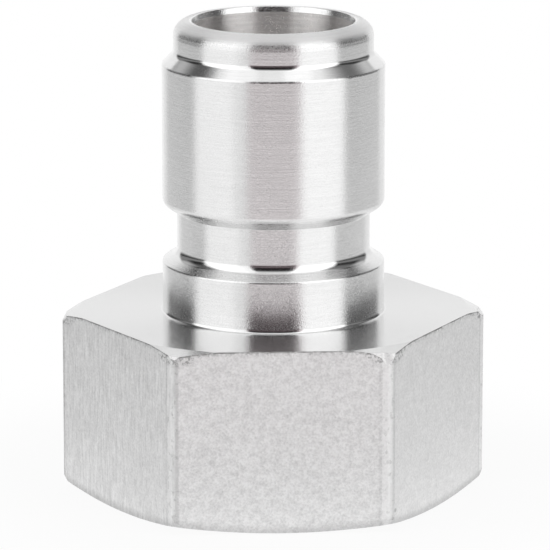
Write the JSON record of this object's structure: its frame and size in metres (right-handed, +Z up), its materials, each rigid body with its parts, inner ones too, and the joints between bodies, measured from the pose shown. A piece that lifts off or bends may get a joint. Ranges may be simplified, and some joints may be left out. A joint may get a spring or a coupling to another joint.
{
  "type": "quick fill adapter",
  "caption": "One-piece turned steel adapter with a hexagonal base, a female pipe thread below and a grooved quick-coupling plug above, bored through.",
  "frame": {"origin": "middle of the flat bottom face, on the axis of the bore", "axes": "+Z up through the bore towards the plug's rim, +X through a corner of the hexagon, +Y square to a wrench flat"},
  "size_m": [0.0328, 0.0286, 0.0368],
  "materials": {
    "adapter_body": "bright turned steel, satin wrench flats"
  },
  "bodies": {
    "root": {"adapter_body": "adapter_body"}
  },
  "joints": []
}
